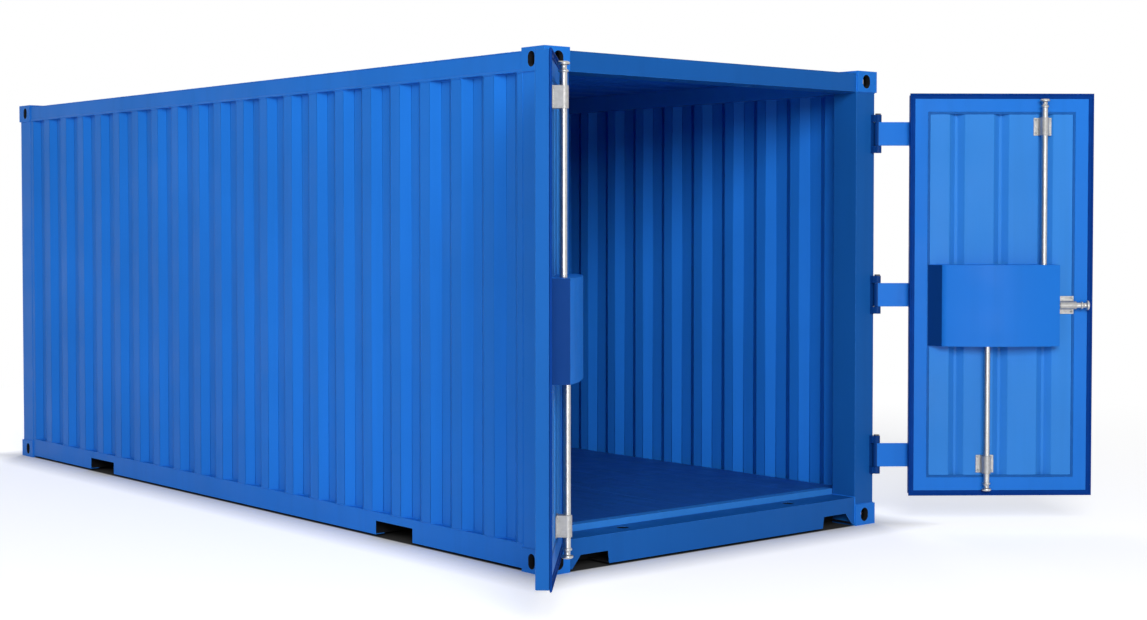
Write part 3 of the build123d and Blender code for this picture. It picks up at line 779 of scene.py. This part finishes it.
class CONTAINER_OT_paint_frame(bpy.types.Operator):
    """Paint the CAD nodes and round their edges"""

    bl_idname = "container.paint_frame"
    bl_label = "Paint Frame"

    def execute(self, context):
        details = context.scene.container_details
        rounding = {"castings": details.casting_round}
        for name in ("post", "rail", "header", "sill", "beam", "door_frame"):
            rounding[name] = details.frame_round
        for name in ("lugs", "straps", "threshold_plate", "lock_hood", "bolt_guides"):
            rounding[name] = details.fitting_round
        for name, node in frame["nodes"].items():
            slot = SLOT_OF_NODE[name]
            # The door end's frame gets the darker paint as painted shade
            if name in END_FRAME:
                slot = "frame_painted_shade"
            elif name in UNDERFRAME:
                slot = "underseal_and_hollow_shade"
            # The hinge lugs get the dark paint as painted shade
            elif name.endswith("hinge_lugs"):
                slot = "lug_painted_shade"
            elif name.endswith(SHEETS):
                slot = "sheet_paint"
            elif name.endswith(BLEACHED_AND_SHEEN):
                slot = "bleached_sheen_paint"
            node.data.materials.clear()
            node.data.materials.append(finish_material(slot))
            node.data.polygons.foreach_set("use_smooth", [True] * len(node.data.polygons))
            self.second_finish(name, node.data)
            joined = node.modifiers.new("joined faces", "WELD")
            joined.merge_threshold = MERGE_REACH
            flat = node.modifiers.new("flat faces", "DECIMATE")
            flat.decimate_type = "DISSOLVE"
            flat.angle_limit = FLAT_ANGLE
            flat.delimit = {"MATERIAL"}
            width = next((value for key, value in rounding.items() if key in name), 0.0)
            soften(node, width)
        return {"FINISHED"}

    def second_finish(self, name, data):
        """Paints the faces of a node that differ from the rest of it."""
        side = name.split("_")[0]
        if name.endswith("hinge_straps"):
            self.darken_knuckles(side, data)
        elif name.endswith("door_frame"):
            self.darken_edges(side, data)
        elif name.endswith("lock_hood"):
            self.darken_cheeks(side, data)
        elif name.endswith("door_post"):
            self.match_walls(name, data)
        # Castings and the door sill get black insides as painted shade in their holes and notches
        elif name.endswith("castings"):
            self.paint_hollow_shade(data, casting_boxes(name))
        elif name == "door_sill":
            low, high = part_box(name)
            self.paint_hollow_shade(data, [(low - Vector((0, 0, SKIN_DEPTH * 2)), high)])

    def repaint(self, data, slot, chosen):
        """Gives the chosen faces of a node a second finish."""
        data.materials.append(finish_material(slot))
        for face in data.polygons:
            if chosen(face):
                face.material_index = 1

    def paint_hollow_shade(self, data, boxes):
        """Paints the faces inside hollow pieces black with the underframe's coat, as painted shade in their
        holes and notches.
        """
        skin = Vector((SKIN_DEPTH, SKIN_DEPTH, SKIN_DEPTH))

        def inside(face):
            return any(
                min(*(face.center - low - skin), *(high - skin - face.center)) > 0 for low, high in boxes
            )

        self.repaint(data, "underseal_and_hollow_shade", inside)

    def darken_edges(self, side, data):
        """Paints painted shade on the narrow edges of a leaf's frame, in the door end's darker paint."""
        low, high = leaf_box(side, "door_frame")
        back = leaf_matrix(side).inverted()

        def at_edge(face):
            spot = back @ face.center
            return min(spot.y - low.y, high.y - spot.y, spot.z - low.z, high.z - spot.z) < SKIN_DEPTH

        self.repaint(data, "frame_painted_shade", at_edge)

    def darken_cheeks(self, side, data):
        """Paints painted shade on the slanting cheek and the flat end of a lock hood, in the lugs' dark
        paint.
        """
        low, high = leaf_box(side, "lock_hood")
        back = leaf_matrix(side).inverted()

        def at_end(face):
            y = (back @ face.center).y
            upright = abs(face.normal.z) < 0.5
            return upright and (y > high.y - HOOD_CHEEK or y < low.y + SKIN_DEPTH)

        self.repaint(data, "lug_painted_shade", at_end)

    def match_walls(self, name, data):
        """Paints the outer side of a door post like the wall beside it; the door end's painted shade stays
        on the post's other faces.
        """
        low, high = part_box(name)
        outer = max(abs(low.y), abs(high.y)) - SKIN_DEPTH
        self.repaint(data, "blue_paint", lambda face: abs(face.center.y) > outer)

    def darken_knuckles(self, side, data):
        """Paints painted shade on the round backs of the hinge knuckles, in the lugs' dark paint."""
        pin = JOINTS[side + "_door_hinge"]["pos_m"]

        def near_pin(face):
            spots = [data.vertices[index].co for index in face.vertices]
            return all(math.hypot(spot.x - pin[0], spot.y - pin[1]) < KNUCKLE_REACH for spot in spots)

        self.repaint(data, "lug_painted_shade", near_pin)


class CONTAINER_OT_weld_walls(bpy.types.Operator):
    """Weld the corrugated walls to the rails and posts"""

    bl_idname = "container.weld_walls"
    bl_label = "Weld Walls"

    def execute(self, context):
        details = context.scene.container_details
        radius, step = details.weld_radius, details.weld_step
        chance = random.Random(3)
        for side, sign in SIDE_SIGNS:
            low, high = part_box(side + "_side_wall")
            outer = max(abs(low.y), abs(high.y))
            mesh = bmesh.new()
            line = corrugation(high.x - low.x, WALL_BAYS, outer, WALL_DEPTH)
            for height in (low.z + radius * 0.6, high.z - radius * 0.6):
                run = [(x, sign * y, height) for x, y in line]
                add_bead(mesh, run, radius, step, (0, 0, 1), chance)
            for x in (low.x, high.x):
                run = [(x, sign * outer, low.z), (x, sign * outer, high.z)]
                add_bead(mesh, run, radius * 0.8, step, (0, 1, 0), chance)
            finish_piece(side + "_wall_welds", mesh, "container", "blue_paint")
        low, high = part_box("end_wall")
        mesh = bmesh.new()
        line = corrugation(high.y - low.y, END_BAYS, -low.x, WALL_DEPTH)
        for height in (low.z + radius * 0.6, high.z - radius * 0.6):
            run = [(-across, along, height) for along, across in line]
            add_bead(mesh, run, radius, step, (0, 0, 1), chance)
        for y in (low.y, high.y):
            add_bead(mesh, [(low.x, y, low.z), (low.x, y, high.z)], radius * 0.8, step, (1, 0, 0), chance)
        finish_piece("end_wall_welds", mesh, "container", "blue_paint")
        return {"FINISHED"}


class CONTAINER_OT_weld_frame(bpy.types.Operator):
    """Weld posts, rails, beams and roof to the castings and to each other"""

    bl_idname = "container.weld_frame"
    bl_label = "Weld Frame"

    def execute(self, context):
        details = context.scene.container_details
        radius, step = details.weld_radius, details.weld_step
        chance = random.Random(5)
        mesh = bmesh.new()
        for side in SIDES:
            for name in ("_door_post", "_end_post"):
                low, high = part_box(side + name)
                for z in (low.z, high.z):
                    add_bead(mesh, loop_round(low, high, 2, z), radius, step, (0, 0, 1), chance)
            for name in ("_top_rail", "_bottom_rail"):
                low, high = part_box(side + name)
                for x in (low.x, high.x):
                    add_bead(mesh, loop_round(low, high, 0, x), radius, step, (1, 0, 0), chance)
        for name in ("door_header", "door_sill", "end_top_beam", "end_bottom_beam"):
            low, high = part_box(name)
            for y in (low.y, high.y):
                add_bead(mesh, loop_round(low, high, 1, y), radius, step, (0, 1, 0), chance)
        finish_piece("frame_welds", mesh, "container", "blue_paint")
        low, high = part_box("roof_panel")
        mesh = bmesh.new()
        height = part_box("left_top_rail")[1].z
        for y in (low.y, high.y):
            add_bead(mesh, [(low.x, y, height), (high.x, y, height)], radius * 0.8, step, (0, 0, 1), chance)
        height += ROOF_WELD_RISE
        for x in (low.x, high.x):
            run = [(x, -ROOF_WELD_END, height), (x, ROOF_WELD_END, height)]
            add_bead(mesh, run, radius * 0.7, step, (0, 0, 1), chance)
        finish_piece("roof_welds", mesh, "container", "blue_paint")
        return {"FINISHED"}


class CONTAINER_OT_fold_rail_lips(bpy.types.Operator):
    """Add the folded lips along the lower edge of the top rails"""

    bl_idname = "container.fold_rail_lips"
    bl_label = "Fold Rail Lips"

    def execute(self, context):
        lip = context.scene.container_details.rail_lip
        proud = lip * 0.45
        for side, sign in SIDE_SIGNS:
            low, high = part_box(side + "_top_rail")
            face = max(abs(low.y), abs(high.y))
            section = [
                (face - LIP_ROOT, low.z), (face + proud * 0.7, low.z), (face + proud, low.z + lip * 0.25),
                (face + proud * 0.8, low.z + lip * 0.7), (face - LIP_ROOT, low.z + lip * 1.5),
            ]
            mesh = bmesh.new()
            add_extrusion(
                mesh, section,
                lambda point: (low.x + LIP_END_GAP, sign * point[0], point[1]),
                lambda point: (high.x - LIP_END_GAP, sign * point[0], point[1]),
            )
            piece = finish_piece(side + "_top_rail_lip", mesh, "container", "blue_paint")
            soften(piece, 0.0015)
        return {"FINISHED"}


class CONTAINER_OT_lay_floor(bpy.types.Operator):
    """Lay the floor panels and screw them to the cross members"""

    bl_idname = "container.lay_floor"
    bl_label = "Lay Floor"

    def execute(self, context):
        details = context.scene.container_details
        low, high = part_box("floor_deck")
        across, along, gap = details.boards_across, details.boards_along, details.board_gap
        mesh = bmesh.new()
        width = (high.y - low.y) / across
        length = (high.x - low.x) / along
        for row in range(across):
            for place in range(along):
                corner = Vector((low.x + place * length, low.y + row * width, low.z))
                end = Vector((corner.x + length, corner.y + width, high.z))
                joint = Vector((gap / 2, gap / 2, 0))
                add_block(mesh, corner + joint, end - joint)
        boards = finish_piece("floor_boards", mesh, "container", "painted_floor")
        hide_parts("floor_deck")
        soften(boards, 0.0015, 1)
        corners = frame["nodes"]["cross_members"].data.vertices
        members = sorted({round(corner.co.x, 3) for corner in corners})
        lines = [start for start, after in zip(members, members[1:]) if after - start > MEMBER_GAP]
        lines.append(members[-1])
        mesh = bmesh.new()
        radius = details.screw_radius
        pitch = (width - 2 * BOARD_INSET) / (BOARD_SCREWS - 1)
        for x in lines:
            for row in range(across):
                for place in range(BOARD_SCREWS):
                    y = low.y + row * width + BOARD_INSET + place * pitch
                    spot = (x - MEMBER_HALF, y, high.z - HEAD_SINK)
                    add_screw(mesh, spot, (0, 0, 1), radius, radius * 0.3)
        finish_piece("floor_screws", mesh, "container", "painted_floor")
        low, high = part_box("threshold_plate")
        mesh = bmesh.new()
        pitch = (high.y - low.y - 2 * THRESHOLD_INSET) / (THRESHOLD_SCREWS - 1)
        for place in range(THRESHOLD_SCREWS):
            y = low.y + THRESHOLD_INSET + place * pitch
            spot = ((low.x + high.x) / 2, y, high.z - HEAD_SINK)
            add_screw(mesh, spot, (0, 0, 1), radius * 1.2, radius * 0.35)
        finish_piece("threshold_screws", mesh, "container", "blue_paint")
        return {"FINISHED"}


class CONTAINER_OT_fit_door_seals(bpy.types.Operator):
    """Fit the lipped rubber seals and the rivets that hold them"""

    bl_idname = "container.fit_door_seals"
    bl_label = "Fit Door Seals"

    def execute(self, context):
        details = context.scene.container_details
        for side in SIDES:
            matrix = leaf_matrix(side)
            low, high = leaf_box(side, "door_seal")
            base, crest = high.x, low.x
            flange = crest + SEAL_FLANGE
            section = [
                (0.0, base - 0.003), (0.002, crest + 0.002), (0.006, crest), (0.011, crest + 0.0015),
                (0.013, crest + 0.006), (0.017, flange), (SEAL_WIDTH - 0.002, flange),
                (SEAL_WIDTH, base - 0.002), (SEAL_WIDTH, base), (0.006, base),
            ]
            mesh = bmesh.new()
            add_leaf_ring(mesh, section, low, high, matrix)
            seal = finish_piece(side + "_lip_seal", mesh, side + "_door", "rubber_seal")
            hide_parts(side + "_door_seal")
            soften(seal, 0.0008)
            mesh = bmesh.new()
            upright_rows = (low.y + RIVET_INSET, high.y - RIVET_INSET)
            level_rows = (low.z + RIVET_INSET, high.z - RIVET_INSET)
            spots = [(y, z) for z in self.spread(low.z, high.z, details.rivet_pitch) for y in upright_rows]
            spots += [(y, z) for y in self.spread(low.y, high.y, details.rivet_pitch) for z in level_rows]
            for y, z in spots:
                spot = (flange + RIVET_SINK, y, z)
                add_screw(mesh, spot, (-1, 0, 0), RIVET_RADIUS, RIVET_HEIGHT, matrix)
            finish_piece(side + "_seal_rivets", mesh, side + "_door", "rubber_seal")
        return {"FINISHED"}

    def spread(self, start, end, pitch):
        """Places of the rivets along one side of a seal."""
        count = max(2, round((end - start) / pitch))
        length = end - start - 2 * RIVET_INSET
        return [start + RIVET_INSET + (index + 0.5) * length / count for index in range(count)]


class CONTAINER_OT_trim_door_leaves(bpy.types.Operator):
    """Add the bead round each door panel, the welds of straps and lock covers, and the guide screws"""

    bl_idname = "container.trim_door_leaves"
    bl_label = "Trim Door Leaves"

    def execute(self, context):
        details = context.scene.container_details
        radius, step = details.weld_radius, details.weld_step
        chance = random.Random(7)
        for side in SIDES:
            body = side + "_door"
            matrix = leaf_matrix(side)
            low, high = leaf_box(side, "door_panel")
            face = low.x
            mesh = bmesh.new()
            foot, top = face + 0.001, face - BEAD_RISE
            section = [(0.0, foot), (0.0, top), (BEAD_WIDTH - 0.004, top), (BEAD_WIDTH, foot)]
            add_leaf_ring(mesh, section, low, high, matrix)
            # The bead takes the door end's darker paint: a painted shade line round the panel
            trim = finish_piece(side + "_panel_bead", mesh, body, "frame_painted_shade")
            soften(trim, 0.001)
            mesh = bmesh.new()
            corner = leaf_box(side, "door_frame")[1]
            for strap_low, strap_high in boxes_up_leaf(side, "hinge_straps"):
                end, lower, upper = strap_low.y, strap_low.z, strap_high.z
                line = ((corner.y, lower), (end, lower), (end, upper), (corner.y, upper))
                run = [(corner.x, y, z) for y, z in line]
                add_bead(mesh, run, radius, step, (1, 0, 0), chance, matrix)
            hood_low, hood_high = leaf_box(side, "lock_hood")
            for z in (hood_low.z, hood_high.z):
                run = [(face, hood_low.y, z), (face, hood_high.y, z)]
                add_bead(mesh, run, radius * 0.7, step, (1, 0, 0), chance, matrix)
            finish_piece(side + "_leaf_welds", mesh, body, "blue_paint")
            mesh = bmesh.new()
            head = details.screw_radius
            for low, high in boxes_up_leaf(side, "bolt_guides"):
                for y in (low.y + 2 * head, high.y - 2 * head):
                    for z in (low.z + 2 * head, high.z - 2 * head):
                        spot = (high.x - GUIDE_PLATE, y, z)
                        add_screw(mesh, spot, (-1, 0, 0), head, head * 0.5, matrix)
            finish_piece(side + "_guide_screws", mesh, body, "galvanised_steel")
        return {"FINISHED"}


class CONTAINER_OT_turn_lock_bolts(bpy.types.Operator):
    """Turn the lock bolts with their collars and spool ends"""

    bl_idname = "container.turn_lock_bolts"
    bl_label = "Turn Lock Bolts"

    def execute(self, context):
        directions = {"top_bolt": (0, 0, 1), "bottom_bolt": (0, 0, -1), "side_bolt": (0, -1, 0)}
        rod, collar = BOLT_RADIUS, BOLT_RADIUS + BOLT_COLLAR
        for side in SIDES:
            matrix = leaf_matrix(side)
            for name, direction in directions.items():
                node = side + "_" + name
                if node not in frame["nodes"]:
                    continue
                low, high = leaf_box(side, name)
                axis = Vector(direction)
                middle = (low + high) / 2
                length = abs((high - low).dot(axis))
                head = max(high.x - low.x, min(high.y - low.y, high.z - low.z)) / 2
                profile = (
                    (0.0, head * 0.72), (0.003, head * 0.93), (0.005, head), (0.012, head),
                    (0.014, head * 0.93), (0.016, rod + 0.002), (0.020, rod * 0.88), (0.034, rod * 0.88),
                    (0.037, rod + 0.004), (0.039, collar), (0.045, collar), (0.048, rod + 0.002),
                    (0.049, rod), (length - 0.004, rod), (length, rod - 0.004),
                )
                mesh = bmesh.new()
                add_turned(mesh, profile, middle + axis * length / 2, -axis, matrix)
                bolt = finish_piece(node + "_turned", mesh, node, "bolt_steel")
                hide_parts(node)
                soften(bolt, 0.0)
        return {"FINISHED"}


class CONTAINER_OT_stage(bpy.types.Operator):
    """Set the floor, the light and the camera"""

    bl_idname = "container.set_stage"
    bl_label = "Set Stage"

    def execute(self, context):
        scene = context.scene
        stage = scene.container_stage
        scene.view_settings.view_transform = "Standard"
        self.lay_ground(scene, stage)
        self.light_world(scene, stage)
        self.hang_lamp(scene, "key_lamp", KEY_LAMP, stage.key_power)
        self.hang_lamp(scene, "side_lamp", SIDE_LAMP, stage.side_power)
        self.hang_lamp(scene, "back_lamp", BACK_LAMP, stage.back_power)
        self.hang_lamp(scene, "glint_lamp", GLINT_LAMP, stage.glint_power, True)
        self.place_camera(scene, stage)
        return {"FINISHED"}

    def lay_ground(self, scene, stage):
        """A wide floor at the foot of the container."""
        mesh = bmesh.new()
        bmesh.ops.create_grid(mesh, x_segments=2, y_segments=2, size=FLOOR_HALF)
        data = bpy.data.meshes.new("studio_floor")
        mesh.to_mesh(data)
        mesh.free()
        data.materials.append(studio_floor("studio_floor", stage.floor_colour))
        ground = bpy.data.objects.new("studio_floor", data)
        scene.collection.objects.link(ground)

    def light_world(self, scene, stage):
        """Even light from all round, seen as white."""
        world = bpy.data.worlds.new("studio_light")
        scene.world = world
        world.use_nodes = True
        tree = world.node_tree
        even = tree.nodes["Background"]
        even.inputs["Color"].default_value = (1, 1, 1, 1)
        even.inputs["Strength"].default_value = stage.sky_strength
        white = add_node(tree, "ShaderNodeBackground", inputs={"Color": (1, 1, 1, 1), "Strength": 1.0})
        mixed = add_node(tree, "ShaderNodeMixShader")
        tree.links.new(seen_rays(tree), mixed.inputs["Fac"])
        tree.links.new(even.outputs["Background"], mixed.inputs[1])
        tree.links.new(white.outputs["Background"], mixed.inputs[2])
        tree.links.new(mixed.outputs["Shader"], tree.nodes["World Output"].inputs["Surface"])

    def hang_lamp(self, scene, name, spot, power, glint=False):
        """A soft lamp that lights faces, or a low one that only shows in metal and gloss."""
        place, target, size = spot
        light = bpy.data.lights.new(name, "AREA")
        light.shape = "RECTANGLE"
        light.size, light.size_y = size
        light.energy = power
        lamp = bpy.data.objects.new(name, light)
        lamp.location = place
        lamp.rotation_euler = (Vector(target) - Vector(place)).to_track_quat("-Z", "Y").to_euler()
        lamp.visible_glossy = glint
        lamp.visible_diffuse = not glint
        scene.collection.objects.link(lamp)

    def place_camera(self, scene, stage):
        """The camera at the picture's viewing angle."""
        data = bpy.data.cameras.new("photo_camera")
        data.sensor_width = SENSOR_WIDTH
        data.sensor_fit = "HORIZONTAL"
        data.lens = stage.camera_lens
        data.shift_y = stage.camera_rise
        data.clip_end = CAMERA_REACH
        camera = bpy.data.objects.new("photo_camera", data)
        camera.location = stage.camera_place
        level = math.cos(stage.camera_pitch)
        ahead = Vector((
            math.cos(stage.camera_heading) * level,
            math.sin(stage.camera_heading) * level,
            math.sin(stage.camera_pitch),
        ))
        camera.rotation_euler = ahead.to_track_quat("-Z", "Y").to_euler()
        scene.collection.objects.link(camera)
        scene.camera = camera


class CONTAINER_PT_panel(bpy.types.Panel):
    """Lists the steps that dress the container"""

    bl_idname = "CONTAINER_PT_panel"
    bl_label = "Shipping Container"
    bl_space_type = "VIEW_3D"
    bl_region_type = "UI"
    bl_category = "Container"

    def draw(self, context):
        layout = self.layout
        for step in STEPS:
            layout.operator(step.bl_idname)
        for group in ("container_finish", "container_details", "container_stage"):
            settings = getattr(context.scene, group)
            box = layout.box()
            for name in settings.bl_rna.properties.keys():
                if name not in ("rna_type", "name"):
                    box.prop(settings, name)


STEPS = (
    CONTAINER_OT_paint_frame,
    CONTAINER_OT_weld_walls,
    CONTAINER_OT_weld_frame,
    CONTAINER_OT_fold_rail_lips,
    CONTAINER_OT_lay_floor,
    CONTAINER_OT_fit_door_seals,
    CONTAINER_OT_trim_door_leaves,
    CONTAINER_OT_turn_lock_bolts,
    CONTAINER_OT_stage,
)
GROUPS = {
    "container_finish": ContainerFinish,
    "container_details": ContainerDetails,
    "container_stage": ContainerStage,
}


def register():
    """Adds the settings, the steps and the panel to Blender."""
    for name, group in GROUPS.items():
        bpy.utils.register_class(group)
        setattr(bpy.types.Scene, name, PointerProperty(type=group))
    for step in (*STEPS, CONTAINER_PT_panel):
        bpy.utils.register_class(step)


def unregister():
    """Takes the panel, the steps and the settings away again."""
    for step in reversed((*STEPS, CONTAINER_PT_panel)):
        bpy.utils.unregister_class(step)
    for name, group in GROUPS.items():
        delattr(bpy.types.Scene, name)
        bpy.utils.unregister_class(group)


def clear_start_objects():
    """Removes what a new Blender file holds besides the container."""
    kept = set(frame["nodes"].values()) | set(frame["bodies"].values())
    for thing in list(bpy.data.objects):
        if thing not in kept:
            bpy.data.objects.remove(thing)


def main():
    """Dresses the container step by step."""
    register()
    clear_start_objects()
    bpy.ops.container.paint_frame()
    bpy.ops.container.weld_walls()
    bpy.ops.container.weld_frame()
    bpy.ops.container.fold_rail_lips()
    bpy.ops.container.lay_floor()
    bpy.ops.container.fit_door_seals()
    bpy.ops.container.trim_door_leaves()
    bpy.ops.container.turn_lock_bolts()
    bpy.ops.container.set_stage()


if __name__ == "__main__":
    main()
